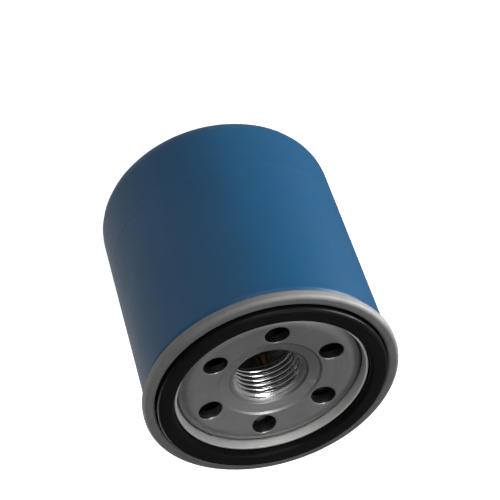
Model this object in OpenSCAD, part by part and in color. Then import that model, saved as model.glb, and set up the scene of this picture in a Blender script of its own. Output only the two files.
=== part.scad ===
// Spin-on oil filter. Millimetres. Z runs along the filter, with the closed end
// of the can at Z = 0 and the threaded, gasketed end up.

/* [Can] */
// Outside diameter over the rolled seam
rim_d = 68; // [66:0.5:70]
// Outside diameter of the can
can_d = 65.4; // [64.8:0.1:65.8]
// Height of the seam's top above the closed end
shell_h = 71.5; // [70:0.5:90]
// Sheet thickness of the can
can_t = 0.4; // [0.3:0.05:0.45]
// Radius of the shoulder round the closed end
shoulder_r = 8; // [5:0.5:12]

/* [Seaming lid] */
// Sheet thickness of the lid
lid_t = 0.7; // [0.5:0.05:0.7]
// Height of the rolled seam
seam_h = 2.9; // [2.5:0.1:3.5]
// Inside radius of the upturned lip inside the gasket
lip_r = 24.8; // [24.6:0.1:25]
// Drop from the seam's top to the lip's top
lip_drop = 0.85; // [0.5:0.05:1.2]

/* [Base plate] */
// Plate thickness
plate_t = 3; // [2.5:0.1:3.5]
// Drop from the seam's top to the middle of the plate
plate_drop = 2.5; // [2.2:0.1:3]
// Drop from the middle of the plate to its outer step
step_drop = 2; // [1.5:0.1:2.5]
// Radius of the crest where the dished plate rolls down to its edge
crest_r = 22; // [21:0.1:23]
// Height of the crest over the middle of the plate
crest_rise = 0.35; // [0:0.05:0.5]
// Drop from the middle of the plate to the ring round its hub
hub_drop = 0.5; // [0:0.05:0.6]
// Number of inlet holes
hole_count = 6; // [4:1:8]
// Inlet hole diameter
hole_d = 6.4; // [5:0.1:6.6]
// Diameter of the circle through the inlet holes
hole_circle_d = 35.4; // [34:0.2:36]
// Angle of the first inlet hole from +X
hole_phase = 13; // [0:1:60]
// Radius of the stamped ring round the threaded collar
hub_ring_r = 13.4; // [13:0.1:14]

/* [Thread] */
// Minor diameter of the thread, where the tap drill leaves the bore
thread_minor_d = 17.4; // [16:0.1:17.6]
// Major diameter of the thread
thread_major_d = 19.05; // [18:0.05:19.2]
// Length of the threaded bore
thread_l = 8.6; // [7:0.1:9]

/* [Gasket] */
// Inside radius of the sealing gasket
gasket_r_in = 26.1; // [26:0.1:26.4]
// Outside radius of the sealing gasket
gasket_r_out = 30.6; // [30:0.1:30.8]
// Height of the gasket above the seam's top
gasket_proud = 1.2; // [0.8:0.1:2]

/* [Element] */
// Outside radius over the pleats
media_r = 27.8; // [26:0.1:28.2]
// Number of pleats
pleats = 48; // [36:2:52]
// Thickness of the filter paper
media_t = 0.5; // [0.3:0.05:0.6]
// Height of the lower end cap above the closed end
element_z = 16; // [15:0.5:18]
// Sheet thickness of the end caps
cap_t = 0.4; // [0.3:0.05:0.5]
// Outside radius of the centre tube
tube_r = 13; // [12.8:0.1:13.1]
// Sheet thickness of the centre tube
tube_t = 0.4; // [0.3:0.05:0.5]
// Rows of drain holes up the centre tube
tube_rows = 5; // [3:1:6]
// Drain holes round the centre tube
tube_columns = 8; // [6:1:10]

/* [Springs] */
// Mean radius of the element spring
element_spring_r = 13; // [11:0.5:15]
// Wire diameter of the element spring
element_wire_d = 1.8; // [1.4:0.1:2]
// Turns of the element spring
element_turns = 3.5; // [3:0.5:4]
// Mean radius of the bypass spring
bypass_spring_r = 4.4; // [4:0.1:4.6]
// Wire diameter of the bypass spring
bypass_wire_d = 0.8; // [0.6:0.05:0.9]
// Turns of the bypass spring
bypass_turns = 5.5; // [4:0.5:6]

/* [Bypass valve] */
// Radius of the valve disc
disc_r = 7.6; // [7:0.1:7.8]
// Radius of the valve's seat opening
seat_r = 5.6; // [5:0.1:6]
// Height of the valve cage above the lower end cap
cage_h = 15; // [14:0.5:17]

/* [Hidden] */
$fn = 96;

rim_r = rim_d / 2;
can_r = can_d / 2;
gap = 0.03;                                   // between sheets that lie on each other
layers = 3 * lid_t + 2 * can_t + 4 * gap;     // the double seam, from its bore outwards
seam_bore_r = rim_r - layers;
neck_r = seam_bore_r + lid_t + gap;           // inside of the can where the lid sits in it
hook_r = rim_r - lid_t - gap - can_t;         // inside of the can's own hook
hook_top = shell_h - lid_t - gap;
hook_end = shell_h - seam_h + lid_t + 0.35;

plate_top = shell_h - plate_drop;
plate_under = plate_top - plate_t;
step_top = plate_top - step_drop;
step_r = lip_r - 0.3;
mouth_r = thread_major_d / 2 + 0.8;
mouth_z = plate_top - 1.6;
thread_top = mouth_z - 1.4;
collar_z = thread_top - thread_l;
collar_r = 11;
collar_root_r = 12.5;
valve_clamp_z = plate_under - 5;              // shoulder of the collar that clamps the rubber valve

gasket_z = step_top + lid_t;
gasket_top = shell_h + gasket_proud;

cap_top = valve_clamp_z - 2.2;                // top face of the upper end cap
adhesive_t = 2;
media_z = element_z + cap_t;
media_top = cap_top - cap_t;
cap_r = media_r + 0.9;
tube_in_r = tube_r - tube_t;

disc_z = element_z + 2.4;
disc_t = 0.8;
seal_t = 0.8;
cage_r = 9.4;
cage_top = element_z + cage_h;
stem_r = 1.2;
cup_r = element_spring_r + element_wire_d / 2 + 1;

// ---- Outlines ------------------------------------------------------------------------------

function unit(v) = v / norm(v);
function turned(v) = [-v[1], v[0]];

// Points of an arc of radius r that rounds corner b between a and c.
function round_corner(a, b, c, r, steps = 5) =
    let (u = unit(a - b), v = unit(c - b), half = acos(u * v) / 2,
        centre = b + unit(u + v) * r / sin(half),
        start = b + u * r / tan(half) - centre,
        sweep = (180 - 2 * half) * sign(cross(b - a, c - b)),
        first = atan2(start[1], start[0]))
    [for (i = [0:steps]) centre + r * [cos(first + sweep * i / steps), sin(first + sweep * i / steps)]];

// A path of [x, y, corner radius] as plain points. An open path keeps its end points.
function rounded(path, closed = false) =
    let (n = len(path), p = [for (q = path) [q[0], q[1]]])
    [for (i = [0:n - 1])
        each (path[i][2] == 0 || (!closed && (i == 0 || i == n - 1))
            ? [p[i]]
            : round_corner(p[(i + n - 1) % n], p[i], p[(i + 1) % n], path[i][2]))];

// The points of a path moved sideways by d.
function beside(p, d) =
    let (n = len(p))
    [for (i = [0:n - 1])
        let (before = i > 0 ? unit(p[i] - p[i - 1]) : unit(p[1] - p[0]),
            after = i < n - 1 ? unit(p[i + 1] - p[i]) : before,
            mid = unit(turned(before) + turned(after)))
        p[i] + mid * d / (mid * turned(after))];

function backwards(p) = [for (i = [len(p) - 1:-1:0]) p[i]];

// Revolves a closed outline of [r, z, corner radius].
module turned_part(outline) {
    rotate_extrude() polygon(rounded(outline, closed = true));
}

// Revolves sheet metal of thickness t that follows a mid-line of [r, z, corner radius].
module pressed_part(mid_line, t) {
    line = rounded(mid_line);
    rotate_extrude() polygon(concat(beside(line, t / 2), backwards(beside(line, -t / 2))));
}

// A round wire that follows a helix of mean radius r from z0 to z1, with a closed coil at each end.
module coil_spring(r, wire_d, z0, z1, turns, steps = 24, sides = 8) {
    dead = 0.75;
    total = turns + 2 * dead;
    pitch = (z1 - z0 - 3 * wire_d) / turns;
    n = round(total * steps);
    function height(a) = z0 + wire_d / 2
        + (a < dead ? wire_d * a / dead
            : a < dead + turns ? wire_d + (a - dead) * pitch
            : wire_d + turns * pitch + wire_d * (a - dead - turns) / dead) * 0.999;
    rings = [for (i = [0:n]) let (a = i * total / n)
        [for (k = [0:sides - 1]) let (b = 360 * k / sides, q = r + wire_d / 2 * cos(b))
            [q * cos(360 * a), q * sin(360 * a), height(a) + wire_d / 2 * sin(b)]]];
    walls = [for (i = [0:n - 1]) for (k = [0:sides - 1])
        let (a = i * sides + k, b = i * sides + (k + 1) % sides) each
            [[a, b, b + sides], [a, b + sides, a + sides]]];
    ends = [[for (k = [sides - 1:-1:0]) k], [for (k = [0:sides - 1]) n * sides + k]];
    polyhedron([for (ring = rings) each ring], [for (f = concat(walls, ends)) backwards(f)]);
}

// ---- Shell ---------------------------------------------------------------------------------

// Deep-drawn can: closed end, round shoulder, a slight neck, and the hook of the double seam.
module can() {
    m = can_t / 2;
    color("steelblue") pressed_part([
        [0, m, 0], [can_r - m, m, shoulder_r - m],
        [can_r - m, shell_h - seam_h - 2, 1.5], [neck_r + m, shell_h - seam_h - 0.2, 1.5],
        [neck_r + m, hook_top - m, 0.3], [hook_r + m, hook_top - m, 0.3], [hook_r + m, hook_end, 0]], can_t);
}

// Gasket channel, rolled over the can's hook outside and turned up into a lip inside.
module seaming_lid() {
    m = lid_t / 2;
    skirt_z = shell_h - seam_h + m;
    inner_r = hook_r - gap - m;
    color("silver") pressed_part([
        [inner_r, hook_top - can_t - gap, 0], [inner_r, skirt_z, 0.4], [rim_r - m, skirt_z, 0.4],
        [rim_r - m, shell_h - m, 0.6], [seam_bore_r + m, shell_h - m, 0.6],
        [seam_bore_r + m, step_top + m, 0.7], [lip_r + m, step_top + m, 0.7],
        [lip_r + m + 0.3, shell_h - lip_drop, 0]], lid_t);
}

// Thread of sealing compound in the fold of the lid, under the end of the can's hook.
module seam_compound() {
    color("dimgray") turned_part([
        [hook_r, hook_end - 0.3, 0], [hook_r + can_t, hook_end - 0.3, 0],
        [hook_r + can_t, hook_end, 0], [hook_r, hook_end, 0]]);
}

// ---- Tapping plate -------------------------------------------------------------------------

// Thick dished plate with a stepped edge, a ring of inlet holes and a threaded collar drawn inwards.
module base_plate() {
    bore_r = thread_minor_d / 2;
    color("silver") difference() {
        turned_part([
            [bore_r, collar_z, 0.3], [collar_r, collar_z, 0.3],
            [collar_r, valve_clamp_z, 0], [collar_root_r, valve_clamp_z, 0.3],
            [collar_root_r, plate_under, 1], [step_r - 0.4, plate_under, 0.6],
            [step_r - 0.4, step_top - plate_t, 0.6], [seam_bore_r, step_top - plate_t, 0.5],
            [seam_bore_r, step_top, 0.5], [step_r, step_top, 0.3],
            [step_r, plate_top - 0.8, 0.9], [crest_r, plate_top + crest_rise, 4],
            [hub_ring_r + 0.6, plate_top - hub_drop, 0.3],
            [hub_ring_r, plate_top - hub_drop - 0.4, 0.3], [mouth_r + 0.4, mouth_z, 1.2],
            [thread_major_d / 2, mouth_z - 0.8, 0.3], [bore_r, thread_top, 0]]);
        for (i = [0:hole_count - 1])
            rotate(hole_phase + i * 360 / hole_count)
                translate([hole_circle_d / 2, 0, plate_under - 1])
                    cylinder(d = hole_d, h = plate_t + 2);
    }
}

// Square-section rubber ring in the lid's channel. Its top is the sealing face.
module sealing_gasket() {
    color("dimgray") turned_part([
        [gasket_r_in, gasket_z, 0.6], [gasket_r_out, gasket_z, 0.6],
        [gasket_r_out, gasket_top, 0.9], [gasket_r_in, gasket_top, 0.9]]);
}

// Rubber disc clamped round the collar, whose lip rests on the plate outside the inlet holes.
module antidrain_valve() {
    r0 = collar_r + 0.1;
    lip_in = hole_circle_d / 2 + hole_d / 2 + 1;
    color("dimgray") turned_part([
        [r0, cap_top + 0.05, 0.3], [15.2, cap_top + 0.05, 0.4], [16.2, cap_top + 1.2, 0.8],
        [lip_in + 1, plate_under - 2.2, 0.6], [lip_in + 1.4, plate_under - 0.05, 0.3],
        [lip_in + 0.5, plate_under - 0.05, 0.3], [lip_in, plate_under - 1.2, 0.6],
        [14.2, valve_clamp_z - 0.05, 0.6], [r0, valve_clamp_z - 0.05, 0.2]]);
}

// ---- Filter element ------------------------------------------------------------------------

// Pressed steel cap with an outer rim, and a neck that the plate's collar enters.
module upper_end_cap() {
    m = cap_t / 2;
    color("gainsboro") pressed_part([
        [collar_r + 0.5, cap_top - 4, 0], [collar_r + 0.5, cap_top - m, 0.5],
        [cap_r - m, cap_top - m, 0.6], [cap_r - m, cap_top - 3, 0]], cap_t);
}

// The same cap for the lower end. The edge of its centre hole stands up as the bypass valve's seat.
module lower_end_cap() {
    m = cap_t / 2;
    color("gainsboro") pressed_part([
        [seat_r + m, disc_z - seal_t, 0], [seat_r + m, element_z + m, 0.3],
        [cap_r - m, element_z + m, 0.6], [cap_r - m, element_z + 3, 0]], cap_t);
}

// Ring of set plastisol that pots one end of the pleats and the centre tube in a cap.
module adhesive_ring(z) {
    bead_r = cap_r - cap_t - 0.05;
    turned_part([
        [tube_r + 0.1, z, 0], [bead_r, z, 0.5],
        [bead_r, z + adhesive_t, 0.5], [tube_r + 0.1, z + adhesive_t, 0]]);
}

module upper_adhesive() { color("darkgray") adhesive_ring(media_top - adhesive_t); }

module lower_adhesive() { color("darkgray") adhesive_ring(media_z); }

// One zigzag loop whose points stand d off the paper's middle: outside for a positive d.
function zigzag(d) =
    let (step = 360 / pleats, r_in = tube_r + 0.5 + media_t / 2, r_out = media_r - media_t / 2,
        tip_out = 0.7 + d * 0.9, tip_in = 0.45 - d * 0.9)
    [for (i = [0:pleats - 1]) let (a = (i + 0.5) * step) each [
        polar(r_in + d, a - step / 2 + degrees_of(tip_in, r_in)),
        polar(r_out + d, a - degrees_of(tip_out, r_out)),
        polar(r_out + d, a + degrees_of(tip_out, r_out)),
        polar(r_in + d, a + step / 2 - degrees_of(tip_in, r_in))]];

function polar(r, a) = r * [cos(a), sin(a)];
function degrees_of(half_width, r) = asin(half_width / r);

// Pleated paper between the two beads of plastisol.
module filter_media() {
    z0 = media_z + adhesive_t;
    color("wheat") translate([0, 0, z0]) linear_extrude(media_top - adhesive_t - z0) difference() {
        polygon(zigzag(media_t / 2));
        polygon(zigzag(-media_t / 2));
    }
}

// Folded strip that clips the paper's two ends together, down one pleat's tip.
module media_clip() {
    z0 = media_z + adhesive_t + 1;
    r = media_r + 0.05;
    color("silver") rotate(180 / pleats) translate([r, -0.9, z0])
        cube([cap_r - cap_t - 0.15 - r, 1.8, media_top - adhesive_t - 1 - z0]);
}

// Rolled tube that carries the pleats, with rows of drain holes between its two blank ends.
module centre_tube() {
    first = media_z + cage_h + 4;
    last = media_top - 7;
    color("gainsboro") difference() {
        translate([0, 0, media_z]) cylinder(r = tube_r, h = media_top - media_z);
        translate([0, 0, media_z - 1]) cylinder(r = tube_in_r, h = media_top - media_z + 2);
        for (row = [0:tube_rows - 1], column = [0:tube_columns - 1])
            translate([0, 0, first + row * (last - first) / (tube_rows - 1)])
                rotate([0, 90, (column + (row % 2) / 2) * 360 / tube_columns])
                    cylinder(d = 3.6, h = tube_r + 1);
    }
}

// ---- Bypass valve --------------------------------------------------------------------------

// Pressed cage over the valve: a flange on the end cap, four windows, and a guide hole on top.
module bypass_cage() {
    m = cap_t / 2;
    color("lightgray") difference() {
        pressed_part([
            [cage_r + 2.4, element_z + cap_t + m, 0], [cage_r, element_z + cap_t + m, 0.5],
            [cage_r, cage_top - m, 0.8], [stem_r + 0.15 + m, cage_top - m, 0]], cap_t);
        for (i = [0:3]) rotate(45 + i * 90) translate([cage_r - 2, -3, element_z + 3.2])
            cube([4, 6, cage_h - 6]);
    }
}

module bypass_disc() {
    color("silver") translate([0, 0, disc_z]) difference() {
        cylinder(r = disc_r, h = disc_t);
        translate([0, 0, -1]) cylinder(r = stem_r, h = disc_t + 2);
    }
}

// Rubber ring under the disc that closes on the raised seat round the centre hole.
module bypass_seal() {
    color("dimgray") translate([0, 0, disc_z - seal_t]) difference() {
        cylinder(r = disc_r, h = seal_t);
        translate([0, 0, -1]) cylinder(r = seat_r - 1.2, h = seal_t + 2);
    }
}

// Guide pin riveted in the disc.
module bypass_stem() {
    color("gray") union() {
        translate([0, 0, disc_z]) cylinder(r = stem_r, h = cage_top + 1.6 - disc_z);
        translate([0, 0, disc_z - 0.5]) cylinder(r = 2.2, h = 0.5);
    }
}

// Push-on washer at the pin's end, above the cage.
module stem_retainer() {
    color("silver") translate([0, 0, cage_top + 0.5]) difference() {
        cylinder(r = 3, h = 0.4);
        translate([0, 0, -1]) cylinder(r = stem_r, h = 3);
    }
}

module bypass_spring() {
    color("gray") coil_spring(bypass_spring_r, bypass_wire_d, disc_z + disc_t, cage_top - cap_t,
        bypass_turns, steps = 20);
}

// ---- Element spring ------------------------------------------------------------------------

// Pressed cup under the lower end cap that centres the spring.
module spring_cup() {
    m = cap_t / 2;
    color("lightgray") pressed_part([
        [seat_r + 1.5, element_z - m, 0], [cup_r, element_z - m, 0.5], [cup_r, element_z - 3, 0]], cap_t);
}

module element_spring() {
    color("gray") coil_spring(element_spring_r, element_wire_d, can_t, element_z - cap_t, element_turns);
}

can();
seaming_lid();
seam_compound();
base_plate();
sealing_gasket();
antidrain_valve();
upper_end_cap();
upper_adhesive();
filter_media();
media_clip();
centre_tube();
lower_adhesive();
lower_end_cap();
bypass_cage();
bypass_disc();
bypass_seal();
bypass_stem();
stem_retainer();
bypass_spring();
spring_cup();
element_spring();
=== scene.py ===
"""Looks of a spin-on oil filter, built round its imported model.

Sizes in the sub-assembly classes are millimetres, in the model's own frame: Z runs along the filter, with the
closed end of the can at Z = 0 and the threaded end up. Finished meshes are in metres.
"""

import functools
import logging
import math
from abc import ABC, abstractmethod
from collections.abc import Callable, Iterable, Sequence
from dataclasses import dataclass, field
from enum import Enum

import bmesh
import bpy
from mathutils import Matrix, Vector


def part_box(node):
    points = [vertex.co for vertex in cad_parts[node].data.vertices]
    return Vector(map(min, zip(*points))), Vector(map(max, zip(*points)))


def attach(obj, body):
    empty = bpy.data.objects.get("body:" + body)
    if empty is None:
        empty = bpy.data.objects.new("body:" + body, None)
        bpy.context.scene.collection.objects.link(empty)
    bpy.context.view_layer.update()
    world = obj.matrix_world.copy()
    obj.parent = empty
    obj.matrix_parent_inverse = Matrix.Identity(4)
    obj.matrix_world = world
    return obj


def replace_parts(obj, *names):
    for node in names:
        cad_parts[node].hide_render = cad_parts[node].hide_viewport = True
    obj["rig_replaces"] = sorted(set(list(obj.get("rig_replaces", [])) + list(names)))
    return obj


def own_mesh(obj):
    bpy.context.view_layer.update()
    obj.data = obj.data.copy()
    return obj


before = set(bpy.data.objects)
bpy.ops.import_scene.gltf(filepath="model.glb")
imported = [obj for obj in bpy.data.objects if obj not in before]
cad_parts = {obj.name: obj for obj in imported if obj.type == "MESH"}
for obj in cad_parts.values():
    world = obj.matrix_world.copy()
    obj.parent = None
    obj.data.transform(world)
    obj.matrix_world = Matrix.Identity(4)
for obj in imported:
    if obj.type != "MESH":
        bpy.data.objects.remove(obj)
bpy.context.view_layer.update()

Corner = tuple[float, float, float]
Point = tuple[float, float]
Place = tuple[float, float, float]
Colour = tuple[float, float, float]
Socket = bpy.types.NodeSocket

MM = 0.001
AROUND = 192          # steps round the axis in a large turned piece
AROUND_SMALL = 96     # steps round the axis in the bypass valve's turned pieces
WELD = 2e-7           # metres within which two points are one
TINY = 1e-6           # distance from the axis, or share of a direction, that counts as none
WHITE = (1, 1, 1, 1)

log = logging.getLogger("oil_filter")


# ---- Outlines --------------------------------------------------------------------------------------------


def rounded(path: Sequence[Corner], closed: bool = False, steps: int = 6) -> list[Point]:
    """Rounds the corners of an outline.

    Args:
        path: corners as (r, z, corner radius).
        closed: whether the last corner joins the first.
        steps: steps along each rounded corner.

    Returns:
        The outline's points as (r, z).
    """
    count = len(path)
    points: list[Point] = []
    for i, (r, z, radius) in enumerate(path):
        if radius == 0 or (not closed and i in (0, count - 1)):
            points.append((r, z))
            continue
        here = Vector((r, z))
        back = (Vector(path[i - 1][:2]) - here).normalized()
        onward = (Vector(path[(i + 1) % count][:2]) - here).normalized()
        half = back.angle(onward) / 2
        centre = here + (back + onward).normalized() * (radius / math.sin(half))
        start = here + back * (radius / math.tan(half)) - centre
        turn = -back.x * onward.y + back.y * onward.x
        sweep = math.copysign(math.pi - 2 * half, turn)
        first = math.atan2(start.y, start.x)
        for k in range(steps + 1):
            angle = first + sweep * k / steps
            points.append((centre.x + radius * math.cos(angle), centre.y + radius * math.sin(angle)))
    return points


def beside(points: Sequence[Point], distance: float) -> list[Point]:
    """Moves an open outline sideways, to the left for a positive distance.

    Args:
        points: the outline.
        distance: how far to move it.

    Returns:
        The moved outline, with as many points.
    """
    line = [Vector(p) for p in points]
    moved: list[Point] = []
    for i, here in enumerate(line):
        before = (here - line[i - 1]).normalized() if i else (line[1] - here).normalized()
        after = (line[i + 1] - here).normalized() if i < len(line) - 1 else before
        left, right = Vector((-before.y, before.x)), Vector((-after.y, after.x))
        middle = (left + right).normalized()
        spot = here + middle * (distance / middle.dot(right))
        moved.append((spot.x, spot.y))
    return moved


def sheet_section(mid_line: Sequence[Corner], thickness: float, edge: float = 0.1,
                  steps: int = 6) -> list[Point]:
    """Outline of sheet metal that follows a mid-line, with its cut edges eased.

    Args:
        mid_line: corners of the mid-line as (r, z, corner radius).
        thickness: thickness of the sheet.
        edge: radius that eases a cut edge, which is left square where it lies on the axis.
        steps: steps along each rounded corner.

    Returns:
        The closed outline's points.
    """
    line = rounded(mid_line, steps=steps)
    sides = beside(line, thickness / 2) + beside(line, -thickness / 2)[::-1]
    ends = {0, len(line) - 1, len(line), len(sides) - 1}
    eased = [(r, z, edge if i in ends and r > TINY else 0.0) for i, (r, z) in enumerate(sides)]
    return rounded(eased, closed=True, steps=3)


def arc_points(radius: float, first: float, last: float, steps: int) -> list[Point]:
    """Points along an arc round the axis.

    Args:
        radius: radius of the arc.
        first: angle of its first point, in degrees.
        last: angle of its last point, in degrees.
        steps: steps along it.

    Returns:
        The points as (x, y).
    """
    angles = [math.radians(first + (last - first) * k / steps) for k in range(steps + 1)]
    return [(radius * math.cos(a), radius * math.sin(a)) for a in angles]


# ---- Meshes ----------------------------------------------------------------------------------------------


def new_object(name: str, points: Sequence[Place], edges: Sequence[tuple[int, int]] = (),
               faces: Sequence[Sequence[int]] = ()) -> bpy.types.Object:
    """Makes an object at the origin.

    Args:
        name: the object's name.
        points: its points in millimetres.
        edges: its loose edges.
        faces: its faces.

    Returns:
        The object, with its mesh in metres.
    """
    mesh = bpy.data.meshes.new(name)
    mesh.from_pydata([(x * MM, y * MM, z * MM) for x, y, z in points], edges, faces)
    made = bpy.data.objects.new(name, mesh)
    bpy.context.scene.collection.objects.link(made)
    return made


def run_tree(made: bpy.types.Object, tree: bpy.types.NodeTree, inputs: dict[str, object]) -> bpy.types.Object:
    """Runs an object through a Geometry Nodes tree and keeps the result as its plain mesh.

    Args:
        made: the object whose mesh goes in.
        tree: the tree.
        inputs: the tree's named inputs.

    Returns:
        The same object.
    """
    modifier = made.modifiers.new(tree.name, "NODES")
    modifier.node_group = tree
    sockets = {s.name: s.identifier for s in tree.interface.items_tree if s.in_out == "INPUT"}
    for label, value in inputs.items():
        modifier[sockets[label]] = value
    graph = bpy.context.evaluated_depsgraph_get()
    result = bpy.data.meshes.new_from_object(made.evaluated_get(graph))
    made.modifiers.remove(modifier)
    source, made.data = made.data, result
    bpy.data.meshes.remove(source)
    result.name = made.name
    return made


def close_up(made: bpy.types.Object, crease: float = 32.0, recalculate: bool = True) -> bpy.types.Object:
    """Welds an object's mesh, turns its faces outwards and shades it smooth between its creases.

    Args:
        made: the object.
        crease: angle in degrees past which an edge is sharp.
        recalculate: whether the faces' directions are worked out again.

    Returns:
        The same object.
    """
    work = bmesh.new()
    work.from_mesh(made.data)
    bmesh.ops.remove_doubles(work, verts=work.verts, dist=WELD)
    bmesh.ops.dissolve_degenerate(work, edges=work.edges, dist=WELD)
    if recalculate:
        bmesh.ops.recalc_face_normals(work, faces=work.faces)
    work.to_mesh(made.data)
    work.free()
    made.data.shade_smooth()
    made.data.set_sharp_from_angle(angle=math.radians(crease))
    return made


def join(name: str, parts: Sequence[bpy.types.Object]) -> bpy.types.Object:
    """Joins objects with one material into one.

    Args:
        name: the joined object's name.
        parts: the objects, which are used up.

    Returns:
        The joined object.
    """
    work = bmesh.new()
    for part in parts:
        work.from_mesh(part.data)
    mesh = bpy.data.meshes.new(name)
    work.to_mesh(mesh)
    work.free()
    for material in parts[0].data.materials:
        mesh.materials.append(material)
    for part in parts:
        bpy.data.objects.remove(part)
    made = bpy.data.objects.new(name, mesh)
    bpy.context.scene.collection.objects.link(made)
    return made


def holed_patch(rim: Sequence[Point], centre: Point, radius: float, depth: float,
                place: Callable[[float, float, float], Place], ease: float = 0.2, rings: int = 3,
                breakout: float = 0.0) -> tuple[list[Place], list[list[int]]]:
    """A plate's patch with one round hole through it, open along its rim.

    Args:
        rim: the patch's rim on the flat, anticlockwise.
        centre: the hole's centre on the flat.
        radius: the hole's radius.
        depth: the plate's thickness.
        place: turns a point on the flat and its depth below the face into a place.
        ease: radius of the hole's rounded edges.
        rings: rings of faces between the rim and the hole.
        breakout: how much the hole widens at its far end.

    Returns:
        The patch's points and faces.
    """
    near_steps, far_steps, waist = 4, 3, 0.55
    count = len(rim)
    ways = [Vector((x - centre[0], y - centre[1])) for x, y in rim]
    bearings = [math.atan2(w.y, w.x) for w in ways]
    loops: list[list[Place]] = []

    def circle(r: float, level: float) -> list[Place]:
        """One loop of the hole at a radius and a depth."""
        return [(centre[0] + r * math.cos(b), centre[1] + r * math.sin(b), level) for b in bearings]

    outside = [(x, y, 0.0) for x, y in rim]
    near = circle(radius + ease, 0.0)
    for k in range(rings):
        share = k / rings
        loops.append([tuple(Vector(a).lerp(Vector(b), share)) for a, b in zip(outside, near)])
    for k in range(near_steps + 1):
        angle = math.pi / 2 * k / near_steps
        loops.append(circle(radius + ease * (1 - math.sin(angle)), ease * (1 - math.cos(angle))))
    loops.append(circle(radius, depth * waist))
    for k in range(far_steps + 1):
        angle = math.pi / 2 * (1 - k / far_steps)
        loops.append(circle(radius + breakout + ease * (1 - math.sin(angle)),
                            depth - ease * (1 - math.cos(angle))))
    far = [(x, y, depth) for x, y, _ in near]
    for k in range(1, rings + 1):
        share = k / rings
        loops.append([(*Vector(a[:2]).lerp(Vector(b[:2]), share), depth) for a, b in zip(far, outside)])
    points = [place(*p) for loop in loops for p in loop]
    faces: list[list[int]] = []
    for start in range(0, (len(loops) - 1) * count, count):
        for k in range(count):
            onward = (k + 1) % count
            faces.append([start + k, start + onward, start + count + onward, start + count + k])
    return points, faces


# ---- Geometry Nodes --------------------------------------------------------------------------------------


@dataclass
class Bench:
    """Places and joins the nodes of one tree."""

    tree: bpy.types.NodeTree

    def add(self, kind: str, inputs: dict[str | int, object] | None = None,
            **settings: object) -> bpy.types.Node:
        """Adds a node.

        Args:
            kind: the node's type name.
            inputs: a value or another node's output for each named or numbered input.
            **settings: the node's own settings.

        Returns:
            The node.
        """
        node = self.tree.nodes.new(kind)
        for label, value in settings.items():
            setattr(node, label, value)
        for label, value in (inputs or {}).items():
            if isinstance(value, Socket):
                self.tree.links.new(value, node.inputs[label])
            else:
                node.inputs[label].default_value = value
        return node

    def maths(self, operation: str, first: object, second: object = 0.0, clamp: bool = False) -> Socket:
        """One sum on one or two numbers."""
        node = self.add("ShaderNodeMath", {0: first, 1: second}, operation=operation, use_clamp=clamp)
        return node.outputs[0]

    def times(self, first: object, second: object, clamp: bool = False) -> Socket:
        """Multiplies two numbers."""
        return self.maths("MULTIPLY", first, second, clamp)

    def noise(self, vector: object, scale: object, detail: float, roughness: float = 0.5) -> Socket:
        """Fractal noise between 0 and 1."""
        node = self.add("ShaderNodeTexNoise", {"Vector": vector, "Scale": scale, "Detail": detail,
                                               "Roughness": roughness})
        return node.outputs[0]

    def spread(self, value: object, low: float, high: float, to_low: float = 0.0,
               to_high: float = 1.0) -> Socket:
        """Maps a value from one range to another, and holds it inside."""
        node = self.add("ShaderNodeMapRange", {"Value": value, "From Min": low, "From Max": high,
                                               "To Min": to_low, "To Max": to_high})
        return node.outputs["Result"]

    def blend(self, share: object, first: object, second: object) -> Socket:
        """Mixes two colours."""
        node = self.add("ShaderNodeMix", {"Factor": share, 6: first, 7: second}, data_type="RGBA")
        return node.outputs[2]


def new_tree(name: str, kind: str, inputs: dict[str, str],
             outputs: dict[str, str]) -> tuple[Bench, dict[str, Socket], bpy.types.Node]:
    """Starts a node group with named sockets.

    Args:
        name: the group's name.
        kind: the group's type name.
        inputs: the type of each named input, without its NodeSocket prefix.
        outputs: the type of each named output.

    Returns:
        The bench, the input node's sockets by name, and the output node.
    """
    tree = bpy.data.node_groups.new(name, kind)
    for direction, sockets in (("INPUT", inputs), ("OUTPUT", outputs)):
        for label, socket in sockets.items():
            tree.interface.new_socket(label, in_out=direction, socket_type="NodeSocket" + socket)
    bench = Bench(tree)
    entry = bench.add("NodeGroupInput")
    leave = bench.add("NodeGroupOutput")
    return bench, {s.name: s for s in entry.outputs if s.name}, leave


def shape_tree(name: str, inputs: dict[str, str]) -> tuple[Bench, dict[str, Socket], bpy.types.Node]:
    """Starts a Geometry Nodes tree that takes and gives a shape.

    Args:
        name: the tree's name.
        inputs: the type of each named input between the shape and the material.

    Returns:
        The bench, the input node's sockets by name, and the output node.
    """
    shape = {"Geometry": "Geometry"}
    return new_tree(name, "GeometryNodeTree", shape | inputs | {"Material": "Material"}, shape)


def close_tree(bench: Bench, shape: Socket, ask: dict[str, Socket],
               leave: bpy.types.Node) -> bpy.types.NodeTree:
    """Ends a Geometry Nodes tree with Realize Instances, a weld and Set Material.

    Args:
        bench: the tree's bench.
        shape: the shape that the tree has made.
        ask: the tree's inputs.
        leave: its output node.

    Returns:
        The tree.
    """
    real = bench.add("GeometryNodeRealizeInstances", {0: shape})
    weld = bench.add("GeometryNodeMergeByDistance", {"Geometry": real.outputs[0], "Distance": WELD})
    painted = bench.add("GeometryNodeSetMaterial", {"Geometry": weld.outputs[0], "Material": ask["Material"]})
    bench.tree.links.new(painted.outputs[0], leave.inputs[0])
    return bench.tree


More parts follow.
